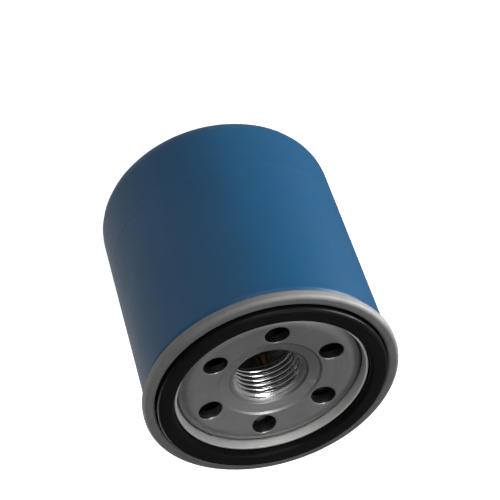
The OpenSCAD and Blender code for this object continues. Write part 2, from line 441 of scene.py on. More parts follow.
@functools.cache
def lathe_tree() -> bpy.types.NodeTree:
    """Tree that turns a flat outline round the Z axis, with inputs Pitch Radius, Steps and Material.

    Returns:
        The tree.
    """
    bench, ask, leave = shape_tree("Lathe", {"Pitch Radius": "Float", "Steps": "Int"})
    outline = bench.add("GeometryNodeMeshToCurve", {0: ask["Geometry"]})
    circle = bench.add("GeometryNodeCurvePrimitiveCircle", {"Resolution": ask["Steps"],
                                                            "Radius": ask["Pitch Radius"]})
    upright = bench.add("GeometryNodeSetCurveNormal", {0: circle.outputs[0]}, mode="Z_UP")
    turned = bench.add("GeometryNodeCurveToMesh", {"Curve": upright.outputs[0],
                                                   "Profile Curve": outline.outputs[0]})
    return close_tree(bench, turned.outputs[0], ask, leave)


@functools.cache
def wire_tree() -> bpy.types.NodeTree:
    """Tree that draws a round wire along a path, with inputs Wire Radius, Sides and Material.

    Returns:
        The tree.
    """
    bench, ask, leave = shape_tree("Wire", {"Wire Radius": "Float", "Sides": "Int"})
    path = bench.add("GeometryNodeMeshToCurve", {0: ask["Geometry"]})
    section = bench.add("GeometryNodeCurvePrimitiveCircle", {"Resolution": ask["Sides"],
                                                             "Radius": ask["Wire Radius"]})
    wire = bench.add("GeometryNodeCurveToMesh", {"Curve": path.outputs[0], "Fill Caps": True,
                                                 "Profile Curve": section.outputs[0]})
    return close_tree(bench, wire.outputs[0], ask, leave)


@functools.cache
def ring_tree() -> bpy.types.NodeTree:
    """Tree that repeats a shape round and along the Z axis.

    Its inputs are Count, First Angle, Rows, Row Step, Row Turn and Material.

    Returns:
        The tree.
    """
    bench, ask, leave = shape_tree("Ring", {"Count": "Int", "First Angle": "Float", "Rows": "Int",
                                            "Row Step": "Float", "Row Turn": "Float"})
    total = bench.times(ask["Count"], ask["Rows"])
    spots = bench.add("GeometryNodeMeshLine", {"Count": total, "Offset": (0.0, 0.0, 0.0)})
    index = bench.add("GeometryNodeInputIndex").outputs[0]
    column = bench.maths("FLOORED_MODULO", index, ask["Count"])
    row = bench.maths("FLOOR", bench.maths("DIVIDE", bench.maths("ADD", index, 0.5), ask["Count"]))
    step = bench.maths("DIVIDE", math.tau, ask["Count"])
    shift = bench.times(bench.maths("FLOORED_MODULO", row, 2.0), ask["Row Turn"])
    angle = bench.maths("ADD", bench.maths("ADD", bench.times(column, step), ask["First Angle"]), shift)
    lift = bench.add("ShaderNodeCombineXYZ", {"Z": bench.times(row, ask["Row Step"])})
    moved = bench.add("GeometryNodeSetPosition", {"Geometry": spots.outputs[0], "Offset": lift.outputs[0]})
    turn = bench.add("ShaderNodeCombineXYZ", {"Z": angle})
    copies = bench.add("GeometryNodeInstanceOnPoints", {
        "Points": moved.outputs[0], "Instance": ask["Geometry"], "Rotation": turn.outputs[0]})
    return close_tree(bench, copies.outputs[0], ask, leave)


def lathe(name: str, outline: Sequence[Point], material: bpy.types.Material, closed: bool = True,
          crease: float = 32.0, finish: bool = True, steps: int = AROUND) -> bpy.types.Object:
    """Turns an outline round the Z axis.

    Args:
        name: the object's name.
        outline: the outline as (r, z).
        material: its material.
        closed: whether the outline is a loop.
        crease: angle in degrees past which an edge is sharp.
        finish: whether the mesh is welded and shaded.
        steps: steps round the axis.

    Returns:
        The object.
    """
    pitch = 10.0
    edges = [(i, i + 1) for i in range(len(outline) - 1)] + ([(len(outline) - 1, 0)] if closed else [])
    made = new_object(name, [(r - pitch, -z, 0.0) for r, z in outline], edges)
    run_tree(made, lathe_tree(), {"Pitch Radius": pitch * MM, "Steps": steps, "Material": material})
    return close_up(made, crease) if finish else made


def ring_of(made: bpy.types.Object, count: int, material: bpy.types.Material, first: float = 0.0,
            rows: int = 1, row_step: float = 0.0, row_turn: float = 0.0) -> bpy.types.Object:
    """Repeats an object round the Z axis, and in rows along it.

    Args:
        made: the object to repeat.
        count: copies in one row.
        material: their material.
        first: angle of the first copy, in degrees.
        rows: number of rows.
        row_step: height from row to row.
        row_turn: angle in degrees by which every other row is turned.

    Returns:
        The same object, with all the copies in its mesh.
    """
    return run_tree(made, ring_tree(), {"Count": count, "First Angle": math.radians(first), "Rows": rows,
                                        "Row Step": row_step * MM, "Row Turn": math.radians(row_turn),
                                        "Material": material})


# ---- Shared shader effects -------------------------------------------------------------------------------


def effect_group(name: str, inputs: Sequence[str],
                 outputs: Sequence[str]) -> tuple[Bench, dict[str, Socket], bpy.types.Node]:
    """Starts a shader group that works on a place and numbers, and gives numbers.

    Args:
        name: the group's name.
        inputs: the names of its numbers, which come after the place, Vector.
        outputs: the names of what it gives.

    Returns:
        The bench, the input node's sockets by name, and the output node.
    """
    return new_tree(name, "ShaderNodeTree", {"Vector": "Vector"} | dict.fromkeys(inputs, "Float"),
                    dict.fromkeys(outputs, "Float"))


@functools.cache
def speckle_group() -> bpy.types.NodeTree:
    """Group for colour variation and grain, at a coarse and a fine scale.

    Returns:
        The group.
    """
    bench, ask, leave = effect_group("Speckle", ("Coarse Scale", "Fine Scale"), ("Coarse", "Fine"))
    for label, detail in (("Coarse", 5.0), ("Fine", 2.0)):
        noise = bench.noise(ask["Vector"], ask[label + " Scale"], detail, 0.6)
        bench.tree.links.new(bench.spread(noise, 0.3, 0.7), leave.inputs[label])
    return bench.tree


@functools.cache
def turning_group() -> bpy.types.NodeTree:
    """Group for the fine lines that a press tool or a lathe leaves round the axis.

    Returns:
        The group.
    """
    bench, ask, leave = effect_group("TurningLines", ("Lines", "Break"), ("Height",))
    split = bench.add("ShaderNodeSeparateXYZ", {0: ask["Vector"]})
    flat = bench.add("ShaderNodeCombineXYZ", {"X": split.outputs["X"], "Y": split.outputs["Y"]})
    radius = bench.add("ShaderNodeVectorMath", {0: flat.outputs[0]}, operation="LENGTH").outputs["Value"]
    along = bench.maths("ADD", radius, split.outputs["Z"])
    bent = bench.add("ShaderNodeCombineXYZ", {
        "X": bench.times(split.outputs["X"], ask["Break"]), "Y": bench.times(split.outputs["Y"], ask["Break"]),
        "Z": bench.times(along, ask["Lines"])})
    noise = bench.noise(bent.outputs[0], 1.0, 3.0, 0.65)
    bench.tree.links.new(bench.spread(noise, 0.25, 0.75), leave.inputs["Height"])
    return bench.tree


@functools.cache
def wear_group() -> bpy.types.NodeTree:
    """Group for rubbed outer edges: where the surface turns most, broken up by noise.

    Returns:
        The group.
    """
    bench, ask, leave = effect_group("EdgeWear", ("Amount", "Breakup"), ("Mask",))
    edge = bench.spread(bench.add("ShaderNodeNewGeometry").outputs["Pointiness"], 0.508, 0.545)
    patches = bench.spread(bench.noise(ask["Vector"], ask["Breakup"], 6.0, 0.7), 0.42, 0.62)
    mask = bench.times(bench.times(edge, patches), ask["Amount"], clamp=True)
    bench.tree.links.new(mask, leave.inputs["Mask"])
    return bench.tree


@functools.cache
def dust_group() -> bpy.types.NodeTree:
    """Group for settled dust: on faces that look up, in patches with fine specks.

    Returns:
        The group.
    """
    bench, ask, leave = effect_group("Dust", ("Amount", "Patch Scale"), ("Mask",))
    facing = bench.add("ShaderNodeSeparateXYZ", {0: bench.add("ShaderNodeNewGeometry").outputs["Normal"]})
    up = bench.spread(facing.outputs["Z"], 0.2, 1.0, 0.25, 1.0)
    patch = bench.spread(bench.noise(ask["Vector"], ask["Patch Scale"], 4.0), 0.45, 0.75, 0.0, 0.5)
    speck = bench.add("ShaderNodeTexVoronoi", {"Vector": ask["Vector"], "Scale": 2600.0})
    dots = bench.spread(speck.outputs["Distance"], 0.22, 0.08)
    cover = bench.maths("ADD", patch, bench.times(dots, 0.5))
    mask = bench.times(bench.times(cover, up), ask["Amount"], clamp=True)
    bench.tree.links.new(mask, leave.inputs["Mask"])
    return bench.tree


@functools.cache
def scratch_group() -> bpy.types.NodeTree:
    """Group for a few fine scratches: thin cell borders of stretched, bent space.

    Returns:
        The group.
    """
    bench, ask, leave = effect_group("Scratches", ("Scale", "Amount"), ("Mask",))
    bend = bench.add("ShaderNodeTexNoise", {"Vector": ask["Vector"], "Scale": 60.0, "Detail": 2.0})
    pull = bench.add("ShaderNodeVectorMath", {0: bend.outputs["Color"], 1: (0.004, 0.004, 0.004)},
                     operation="MULTIPLY")
    bent = bench.add("ShaderNodeVectorMath", {0: ask["Vector"], 1: pull.outputs[0]}, operation="ADD")
    long = bench.add("ShaderNodeMapping", {"Vector": bent.outputs[0], "Rotation": (0.4, 0.7, 0.3),
                                           "Scale": (1.0, 0.12, 1.0)})
    cells = bench.add("ShaderNodeTexVoronoi", {"Vector": long.outputs[0], "Scale": ask["Scale"]},
                      feature="DISTANCE_TO_EDGE")
    line = bench.spread(cells.outputs["Distance"], 0.018, 0.004)
    kept = bench.times(line, bench.spread(bench.noise(ask["Vector"], 140.0, 1.0), 0.52, 0.62))
    bench.tree.links.new(bench.times(kept, ask["Amount"], clamp=True), leave.inputs["Mask"])
    return bench.tree


def cleared_bench(owner: bpy.types.Material | bpy.types.World) -> Bench:
    """Clears the nodes of a material or a world.

    Args:
        owner: the material or the world.

    Returns:
        The bench of its nodes.
    """
    owner.use_nodes = True
    owner.node_tree.nodes.clear()
    return Bench(owner.node_tree)


class Grain(Enum):
    """What the fine relief of a finish looks like."""

    ORANGE_PEEL = "orange peel of sprayed enamel"
    ROLLED = "rolled sheet with press lines"
    MOULDED = "moulded rubber"
    FIBRE = "paper fibres"
    CAST = "set resin"


@dataclass(frozen=True)
class Finish:
    """A surface finish and how much of each shared effect it takes."""

    name: str
    grain: Grain
    colour: Colour
    shade: Colour
    worn: Colour
    metallic: float = 0.0
    sheen_low: float = 0.3
    sheen_high: float = 0.45
    coarse: float = 90.0
    fine: float = 2500.0
    fine_depth: float = 0.01
    lines: float = 0.0
    line_break: float = 30.0
    line_depth: float = 0.0
    wear: float = 0.5
    scratches: float = 0.3
    dust: float = 0.25
    coat: float = 0.0
    coat_roughness: float = 0.1
    specular: float = 0.5
    dust_colour: Colour = (0.32, 0.3, 0.27)
    dust_scale: float = 120.0
    dust_dulls: float = 0.35
    wear_scale: float = 450.0
    scratch_scale: float = 160.0
    scratch_depth: float = 0.006
    scratch_shine: float = 0.6
    line_share: float = 0.45

    def build(self) -> bpy.types.Material:
        """Builds the material.

        Returns:
            The material, with its Principled shader in the material itself.
        """
        material = bpy.data.materials.new(self.name)
        bench = cleared_bench(material)
        here = bench.add("ShaderNodeTexCoord").outputs["Object"]

        def effect(tree: bpy.types.NodeTree, inputs: dict[str, object]) -> bpy.types.Node:
            """Places a shared effect with this finish's values.

            Args:
                tree: the effect's group.
                inputs: a value for each named input apart from Vector.

            Returns:
                The group's node.
            """
            node = bench.add("ShaderNodeGroup", node_tree=tree)
            bench.tree.links.new(here, node.inputs["Vector"])
            for label, value in inputs.items():
                node.inputs[label].default_value = value
            return node

        speckle = effect(speckle_group(), {"Coarse Scale": self.coarse, "Fine Scale": self.fine})
        wear = effect(wear_group(), {"Amount": self.wear, "Breakup": self.wear_scale}).outputs["Mask"]
        dust = effect(dust_group(), {"Amount": self.dust, "Patch Scale": self.dust_scale}).outputs["Mask"]
        marks = {"Scale": self.scratch_scale, "Amount": self.scratches}
        scratch = effect(scratch_group(), marks).outputs["Mask"]
        tone = speckle.outputs["Coarse"]
        relief = bench.times(speckle.outputs["Fine"], self.fine_depth * MM)
        if self.lines:
            turned = effect(turning_group(), {"Lines": self.lines, "Break": self.line_break}).outputs[0]
            relief = bench.maths("ADD", relief, bench.times(turned, self.line_depth * MM))
            tone = bench.maths("ADD", bench.times(tone, 1 - self.line_share),
                               bench.times(turned, self.line_share))
        relief = bench.maths("SUBTRACT", relief, bench.times(scratch, self.scratch_depth * MM))
        colour = bench.blend(tone, (*self.colour, 1.0), (*self.shade, 1.0))
        rubbed = bench.maths("MAXIMUM", wear, bench.times(scratch, self.scratch_shine))
        colour = bench.blend(rubbed, colour, (*self.worn, 1.0))
        colour = bench.blend(dust, colour, (*self.dust_colour, 1.0))
        rough = bench.spread(tone, 0.0, 1.0, self.sheen_low, self.sheen_high)
        rough = bench.maths("ADD", rough, bench.times(dust, self.dust_dulls), clamp=True)
        bump = bench.add("ShaderNodeBump", {"Height": relief, "Distance": 1.0, "Strength": 1.0})
        shader = bench.add("ShaderNodeBsdfPrincipled", {
            "Base Color": colour, "Roughness": rough, "Normal": bump.outputs[0], "Metallic": self.metallic,
            "Coat Weight": self.coat, "Coat Roughness": self.coat_roughness,
            "Specular IOR Level": self.specular})
        if self.metallic:
            metal = bench.times(bench.maths("SUBTRACT", 1.0, dust), self.metallic)
            bench.tree.links.new(metal, shader.inputs["Metallic"])
        bench.add("ShaderNodeOutputMaterial", {"Surface": shader.outputs[0]})
        log.info("finish %s: %s", self.name, self.grain.value)
        return material


def grey(level: float) -> Colour:
    """A plain grey."""
    return level, level, level


class Slot(Enum):
    """The record's material slots with their finishes, finishes for the plate's worked faces, and a darker copy
    of the lid's plating that paints shade on its seam.
    """

    BLUE_PAINT = Finish(
        "blue_paint", Grain.ORANGE_PEEL, (0.0080, 0.052, 0.114), (0.0065, 0.045, 0.100), (0.05, 0.12, 0.2),
        sheen_low=0.36, sheen_high=0.44, coarse=60.0, fine=1500.0, fine_depth=0.0012, wear=0.35, scratches=0.15,
        dust=0.03, coat=0.06, coat_roughness=0.2, specular=0.25)
    PLATED_LID = Finish(
        "plated_lid", Grain.ROLLED, (0.66, 0.652, 0.645), (0.56, 0.552, 0.545), (0.74, 0.74, 0.73),
        metallic=1.0, sheen_low=0.66, sheen_high=0.76, coarse=140.0, fine=3200.0, fine_depth=0.002,
        lines=2600.0, line_depth=0.0015, dust=0.15)
    # The seam's finish is a darker copy of the lid's plating: its lower colour is painted shade, and its higher
    # roughness is the seam's own.
    SEAM_PAINTED_SHADE = Finish(
        "seam_painted_shade", Grain.ROLLED, (0.245, 0.242, 0.240), (0.19, 0.188, 0.186), (0.36, 0.36, 0.35),
        metallic=1.0, sheen_low=0.72, sheen_high=0.82, coarse=140.0, fine=3200.0, fine_depth=0.002,
        lines=2600.0, line_depth=0.0015, dust=0.1)
    PLATED_PLATE = Finish(
        "plated_plate", Grain.ROLLED, grey(0.32), (0.255, 0.255, 0.26), (0.46, 0.46, 0.45), metallic=1.0,
        sheen_low=0.36, sheen_high=0.46, coarse=170.0, fine=2600.0, fine_depth=0.004, lines=900.0,
        line_depth=0.0012, wear=0.7, dust=0.2)
    PUNCHED = Finish(
        "punched_steel", Grain.ROLLED, grey(0.34), grey(0.24), grey(0.3), metallic=1.0, sheen_low=0.26,
        sheen_high=0.4, coarse=420.0, fine=2600.0, fine_depth=0.004, wear=0.6, scratches=0.0, dust=0.0)
    CUT_THREAD = Finish(
        "cut_thread", Grain.ROLLED, grey(0.62), grey(0.52), grey(0.7), metallic=1.0, sheen_low=0.16,
        sheen_high=0.22, coarse=300.0, fine=2600.0, fine_depth=0.0008, wear=0.2, scratches=0.0, dust=0.0)
    NITRILE = Finish(
        "nitrile", Grain.MOULDED, grey(0.0022), grey(0.0034), grey(0.02), sheen_low=0.36, sheen_high=0.46,
        fine=1800.0, fine_depth=0.004, wear=0.2, scratches=0.05, dust=0.012, specular=0.08)
    VALVE_RUBBER = Finish(
        "valve_rubber", Grain.MOULDED, (0.012, 0.011, 0.011), (0.02, 0.018, 0.018), grey(0.03), sheen_low=0.5,
        sheen_high=0.65, fine=1500.0, fine_depth=0.006, wear=0.3, scratches=0.0, dust=0.15)
    COMPOUND = Finish(
        "compound", Grain.CAST, grey(0.1), (0.16, 0.15, 0.14), grey(0.2), sheen_low=0.5, sheen_high=0.7,
        fine=900.0, fine_depth=0.02, scratches=0.0)
    TINPLATE = Finish(
        "tinplate", Grain.ROLLED, (0.46, 0.465, 0.46), (0.35, 0.355, 0.355), grey(0.6), metallic=1.0,
        coarse=220.0, fine=3000.0, fine_depth=0.002, lines=1500.0, line_depth=0.001, dust=0.1)
    FILTER_PAPER = Finish(
        "filter_paper", Grain.FIBRE, (0.62, 0.47, 0.25), (0.50, 0.36, 0.17), (0.68, 0.55, 0.33), sheen_low=0.8,
        sheen_high=0.92, coarse=400.0, fine=4200.0, fine_depth=0.03, wear=0.2, scratches=0.0, dust=0.1)
    PLASTISOL = Finish(
        "plastisol", Grain.CAST, (0.13, 0.13, 0.135), (0.18, 0.18, 0.185), grey(0.2), coarse=260.0, fine=700.0,
        fine_depth=0.03, scratches=0.0)
    SPRING_STEEL = Finish(
        "spring_steel", Grain.ROLLED, (0.24, 0.235, 0.23), (0.14, 0.13, 0.125), (0.45, 0.44, 0.43),
        metallic=1.0, sheen_low=0.25, sheen_high=0.4, coarse=500.0, fine=3600.0, fine_depth=0.004, dust=0.05)

    @property
    @functools.cache
    def material(self) -> bpy.types.Material:
        """The slot's material, built once."""
        return self.value.build()

    @property
    def label(self) -> str:
        """The slot's name in the record."""
        return self.value.name


# ---- Sub-assemblies ----------------------------------------------------------------------------------------


@dataclass(frozen=True)
class Crush:
    """How a springy piece flattens as a joint moves: the joint, the height that stays and the share kept."""

    joint: str
    anchor: float
    keep: float


@dataclass
class SubAssembly(ABC):
    """A group of pieces that is built and dressed together."""

    pieces: list[bpy.types.Object] = field(default_factory=list, init=False)

    @abstractmethod
    def build(self) -> None:
        """Builds every piece of the group."""

    def fit(self, made: bpy.types.Object, body: str, slot: Slot, *nodes: str,
            crush: Crush | None = None) -> None:
        """Puts a finished piece in the frame, in the place of the nodes it stands for.

        Args:
            made: the piece.
            body: the body it rides on.
            slot: the piece's material slot, not used.
            *nodes: the nodes it stands for.
            crush: how it would flatten with a joint; when one is given, the piece only gets its own mesh.
        """
        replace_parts(made, *nodes)
        slot.label
        if crush:
            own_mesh(made)
        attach(made, body)
        self.pieces.append(made)

    def keep(self, node: str, slot: Slot) -> None:
        """Shows a node as it is, with its slot's finish.

        Args:
            node: the node.
            slot: the material slot.
        """
        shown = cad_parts[node]
        shown.data.materials.clear()
        shown.data.materials.append(slot.material)
        slot.label
        self.pieces.append(shown)

    def report(self) -> None:
        """Logs each piece with its size and how far its box is off the boxes of the nodes it stands for."""
        for made in self.pieces:
            low = Vector(map(min, *(v.co for v in made.data.vertices)))
            high = Vector(map(max, *(v.co for v in made.data.vertices)))
            faces = sum(len(p.vertices) - 2 for p in made.data.polygons)
            off = 0.0
            for node in made.get("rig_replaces", []):
                cad_low, cad_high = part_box(node)
                off = max(off, *(abs(a - b) for a, b in zip((*low, *high), (*cad_low, *cad_high))))
            log.info("%s: %.1f x %.1f x %.1f mm, %d triangles, %.2f mm off", made.name, *((high - low) / MM),
                     faces, off / MM)


@dataclass
class Can(SubAssembly):
    """Deep-drawn, enamelled can with the hook of the double seam."""

    radius: float = 32.7
    thickness: float = 0.4
    shoulder: float = 8.0
    neck: float = 31.71
    neck_z: float = 68.4
    straight_z: float = 66.6
    hook: float = 32.87
    hook_top: float = 70.77
    hook_end: float = 69.65
    neck_bend: float = 1.5
    fold_bend: float = 0.3
    draw_z: float = 20.5
    draw_rise: float = 0.035
    draw_foot: float = 0.6
    draw_crown: float = 0.25
    draw_bend: float = 0.4
    bare_below: float = 20.0

    def build(self) -> None:
        """Builds the can, painted outside and bare inside, with the faint ring that its last draw left."""
        m = self.thickness / 2
        wall, neck, hook, fold = self.radius - m, self.neck + m, self.hook + m, self.hook_top - m
        ring = [(wall, -self.draw_foot), (wall + self.draw_rise, -self.draw_crown),
                (wall + self.draw_rise, self.draw_crown), (wall, self.draw_foot)]
        outline = sheet_section([
            (0, m, 0), (wall, m, self.shoulder - m), *((r, self.draw_z + up, self.draw_bend) for r, up in ring),
            (wall, self.straight_z, self.neck_bend), (neck, self.neck_z, self.neck_bend),
            (neck, fold, self.fold_bend), (hook, fold, self.fold_bend), (hook, self.hook_end, 0)],
            self.thickness, 0.08, 8)
        made = lathe("painted_can", outline, Slot.BLUE_PAINT.material, crease=50.0)
        made.data.materials.append(Slot.TINPLATE.material)
        self.dress(made)
        self.fit(made, "shell", Slot.BLUE_PAINT, "can")

    def dress(self, made: bpy.types.Object) -> None:
        """Leaves the can's inside and the seam's folds bare."""
        for face in made.data.polygons:
            middle, normal = face.center, face.normal
            inward = middle.x * normal.x + middle.y * normal.y < -TINY * MM
            inside = math.hypot(middle.x, middle.y) < (self.radius - self.shoulder) * MM and normal.z > 0
            deep = inward or inside or (normal.z > 0.02 and middle.z < self.bare_below * MM)
            face.material_index = 1 if deep or middle.z > self.neck_z * MM else 0


@dataclass
class Lid(SubAssembly):
    """Seaming lid: the rolled seam, the gasket's channel and the upturned lip, with the seam's compound."""

    thickness: float = 0.7
    rim: float = 34.0
    top: float = 71.5
    skirt: float = 68.6
    hook: float = 32.49
    hook_z: float = 70.34
    bore: float = 30.98
    floor: float = 67.0
    lip: float = 24.8
    lip_lean: float = 0.3
    lip_top: float = 70.65

    def build(self) -> None:
        """Builds the lid, with painted shade on the seam as a darker copy of its plating, and finishes the ring
        of compound in its fold.
        """
        m = self.thickness / 2
        skirt, rim, top = self.skirt + m, self.rim - m, self.top - m
        bore, floor, lip = self.bore + m, self.floor + m, self.lip + m
        outline = sheet_section([
            (self.hook, self.hook_z, 0), (self.hook, skirt, 0.42), (rim, skirt, 0.55), (rim, top, 0.7),
            (bore, top, 0.6), (bore, floor, 0.7), (lip, floor, 0.7), (lip + self.lip_lean, self.lip_top, 0)],
            self.thickness, 0.16, 9)
        made = lathe("rolled_lid", outline, Slot.PLATED_LID.material, crease=60.0)
        # The seam's faces take the darker copy of the plating, which paints shade on them.
        made.data.materials.append(Slot.SEAM_PAINTED_SHADE.material)
        for face in made.data.polygons:
            seamed = math.hypot(face.center.x, face.center.y) > (self.bore - 0.1) * MM
            face.material_index = 1 if seamed else 0
        self.fit(made, "shell", Slot.PLATED_LID, "seaming_lid")
        self.keep("seam_compound", Slot.COMPOUND)


@dataclass
class Gasket(SubAssembly):
    """Sealing ring of nearly square section."""

    inner: float = 26.1
    outer: float = 30.6
    under: float = 67.7
    top: float = 72.7
    line_rise: float = 0.05
    line_half: float = 0.12

    def build(self) -> None:
        """Builds the ring, with a faint moulding line on each wall."""
        middle = (self.under + self.top) / 2

        def wall(r: float, out: float) -> list[Corner]:
            """The moulding line of the wall at a radius, in the direction that goes round the section."""
            half = self.line_half * out
            return [(r, middle - half, 0.1), (r + self.line_rise * out, middle, 0.05), (r, middle + half, 0.1)]

        outline = rounded([
            (self.inner, self.under, 0.6), (self.outer, self.under, 0.6), *wall(self.outer, 1),
            (self.outer, self.top, 0.9), (self.inner, self.top, 0.9), *wall(self.inner, -1)],
            closed=True, steps=8)
        made = lathe("gasket_ring", outline, Slot.NITRILE.material)
        self.fit(made, "shell", Slot.NITRILE, "sealing_gasket")


@dataclass
class Thread:
    """Internal unified thread, cut into the drawn collar."""

    minor: float = 8.7
    major: float = 9.525
    pitch: float = 1.5875
    low: float = 57.4
    high: float = 66.6
    chamfer_low: float = 9.3
    chamfer_run: float = 0.6
    root: Point = (0.5, 0.825)
    flank: tuple[Point, ...] = (
        (0.105, 0.0), (0.13, 0.02), (0.16, 0.09), (0.24, 0.31), (0.33, 0.56), (0.41, 0.77), (0.45, 0.815))

    @property
    def profile(self) -> tuple[Point, ...]:
        """The groove over one pitch: each point's share of the pitch and its depth, from crest to crest."""
        return (0.0, 0.0), *self.flank, self.root, *((1 - share, deep) for share, deep in self.flank[::-1])

    def build(self, material: bpy.types.Material) -> bpy.types.Object:
        """Builds the threaded wall, open at both ends.

        Args:
            material: its material.

        Returns:
            The wall as an object.
        """
        profile = self.profile
        marks = (*profile, (1.0, 0.0))

        def depth(share: float) -> float:
            """Depth of the groove.

            Args:
                share: the place along the pitch, as a share of it.

            Returns:
                The depth.
            """
            share %= 1.0
            for (a, deep), (b, next_deep) in zip(marks, marks[1:]):
                if share <= b:
                    return deep + (next_deep - deep) * (share - a) / (b - a)
            return 0.0

        def radius(share: float, z: float) -> float:
            """The wall's radius, with the chamfer at each end cut in.

            Args:
                share: the place along the pitch, as a share of it.
                z: the height.

            Returns:
                The radius.
            """
            run = self.chamfer_run
            upper = self.minor + (self.major - self.minor) * (z - self.high + run) / run
            lower = self.minor + (self.chamfer_low - self.minor) * (self.low + run - z) / run
            return max(self.minor + depth(share), upper, lower)

        rows = [k + share for k in range(-1, math.ceil((self.high - self.low) / self.pitch) + 1)
                for share, _ in profile]
        points: list[Place] = []
        for i in range(AROUND):
            turn = i / AROUND
            angle = math.tau * turn
            for row in rows:
                z = min(max(self.low + (row + turn) * self.pitch, self.low), self.high)
                r = radius((z - self.low) / self.pitch - turn, z)
                points.append((r * math.cos(angle), r * math.sin(angle), z))
        many, per = len(rows), len(profile)
        faces: list[list[int]] = []
        for i in range(AROUND):
            wrap = i == AROUND - 1
            for k in range(many - 1 - (per if wrap else 0)):
                a = i * many + k
                b = (k + per) if wrap else (i + 1) * many + k
                faces.append([a, b, b + 1, a + 1])
        made = new_object("thread_wall", points, (), faces)
        made.data.materials.append(material)
        return made


@dataclass
class Plate(SubAssembly):
    """Threaded base plate: dished face, stepped edge, punched inlet holes, stamped hub ring, drawn collar."""

    top: float = 69.0
    under: float = 66.0
    step: float = 67.0
    step_radius: float = 24.5
    rim: float = 30.98
    hub: float = 13.4
    collar: float = 11.0
    collar_root: float = 12.5
    clamp_z: float = 61.0
    holes: int = 6
    hole_radius: float = 3.2
    hole_circle: float = 17.7
    phase: float = 13.0
    hub_top: float = 68.5
    crest: tuple[float, float] = (22.0, 69.35)
    edge_top: float = 68.2
    bend: float = 1.1
    inner_edge: float = 14.1
    outer_edge: float = 22.5
    edge_run: float = 0.6
    wall_inset: float = 0.4
    hub_drop: float = 0.4
    mouth_run: float = 1.1
    mouth_drop: float = 1.55
    lead_run: float = 0.6
    lead_rise: float = 0.25
    ease: float = 0.22
    breakout: float = 0.08
    thread: Thread = field(default_factory=Thread)

    def face(self, r: float) -> float:
        """Height of the dished upper face at a radius.

        Args:
            r: the radius.

        Returns:
            The height: it climbs to the crest, bends over it and falls towards the edge.
        """
        peak, height = self.crest
        rise = (height - self.hub_top) / (peak - self.hub - self.edge_run)
        fall = (height - self.edge_top) / (self.step_radius - peak)
        bent = min(max(r - peak + self.bend, 0.0), 2 * self.bend)
        past = max(r - peak - self.bend, 0.0)
        return height + rise * (r - peak) - (rise + fall) * (bent ** 2 / (4 * self.bend) + past)

    def build(self) -> None:
        """Builds the plate as one closed shell: turned rings, the ring of holed sectors and the thread."""
        metal, thread = Slot.PLATED_PLATE.material, self.thread
        shelf = self.step - (self.top - self.under)
        edge, past_edge = self.outer_edge, self.outer_edge + self.edge_run
        inset = self.step_radius - self.wall_inset
        outer = rounded([
            (edge, self.face(edge), 0), (past_edge, self.face(past_edge), 0),
            (self.step_radius, self.edge_top, 0.9), (self.step_radius, self.step, 0.3),
            (self.rim, self.step, 0.5), (self.rim, shelf, 0.5),
            (inset, shelf, 0.6), (inset, self.under, 0.6), (edge, self.under, 0)])
        mouth = rounded([
            (self.inner_edge, self.face(self.inner_edge), 0), (self.hub + self.edge_run, self.hub_top, 0.3),
            (self.hub, self.hub_top - self.hub_drop, 0.3),
            (thread.major + self.mouth_run, self.top - self.mouth_drop, 0.35),
            (thread.major + self.lead_run, thread.high + self.lead_rise, 0.2), (thread.major, thread.high, 0)])
        collar = rounded([
            (thread.chamfer_low, thread.low, 0), (self.collar, thread.low, 0.3),
            (self.collar, self.clamp_z, 0), (self.collar_root, self.clamp_z, 0.3),
            (self.collar_root, self.under, 1.0), (self.inner_edge, self.under, 0)])
        parts = [lathe(label, line, metal, closed=False, finish=False)
                 for label, line in (("outer", outer), ("mouth", mouth), ("collar", collar))]
        parts += [self.sectors(metal), thread.build(metal)]
        made = join("threaded_plate", parts)
        made.data.materials.append(Slot.PUNCHED.material)
        made.data.materials.append(Slot.CUT_THREAD.material)
        made.data.transform(Matrix.Rotation(math.radians(self.phase), 4, "Z"))
        close_up(made, crease=38.0)
        self.dress(made)
        self.fit(made, "shell", Slot.PLATED_PLATE, "base_plate")

    def dress(self, made: bpy.types.Object) -> None:
        """Gives the holes' sheared walls and the thread below its mouth their own finishes."""
        for face in made.data.polygons:
            r, z = math.hypot(face.center.x, face.center.y) / MM, face.center.z / MM
            walled = abs(r - self.hole_circle) < self.hole_radius + 0.15 and abs(face.normal.z) < 0.8
            bored = r < self.thread.major + 0.1 and z < self.thread.high
            face.material_index = 1 if walled else 2 if bored else 0

    def sectors(self, metal: bpy.types.Material) -> bpy.types.Object:
        """Builds one sector with its punched hole and repeats it round the axis.

        Args:
            metal: the plate's material.

        Returns:
            The ring of sectors.
        """
        half = 180 / self.holes
        steps = AROUND // self.holes
        radii = 10
        inner = arc_points(self.inner_edge, half, -half, steps)
        outer = arc_points(self.outer_edge, -half, half, steps)
        low, high = Vector(inner[-1]), Vector(inner[0])
        side = [tuple(low.lerp(Vector(outer[0]), k / radii)) for k in range(1, radii)]
        back = [tuple(Vector(outer[-1]).lerp(high, k / radii)) for k in range(1, radii)]
        rim = [*inner, *side, *outer, *back]
        thickness = self.top - self.under

        def place(x: float, y: float, depth: float) -> Place:
            """A point at a depth under the dished face, whose underside is flat."""
            high = self.face(math.hypot(x, y))
            return x, y, high - depth * (high - self.under) / thickness

        points, faces = holed_patch(rim, (self.hole_circle, 0.0), self.hole_radius, thickness, place,
                                    ease=self.ease, rings=6, breakout=self.breakout)
        made = new_object("holed_sector", points, (), faces)
        return ring_of(made, self.holes, metal)


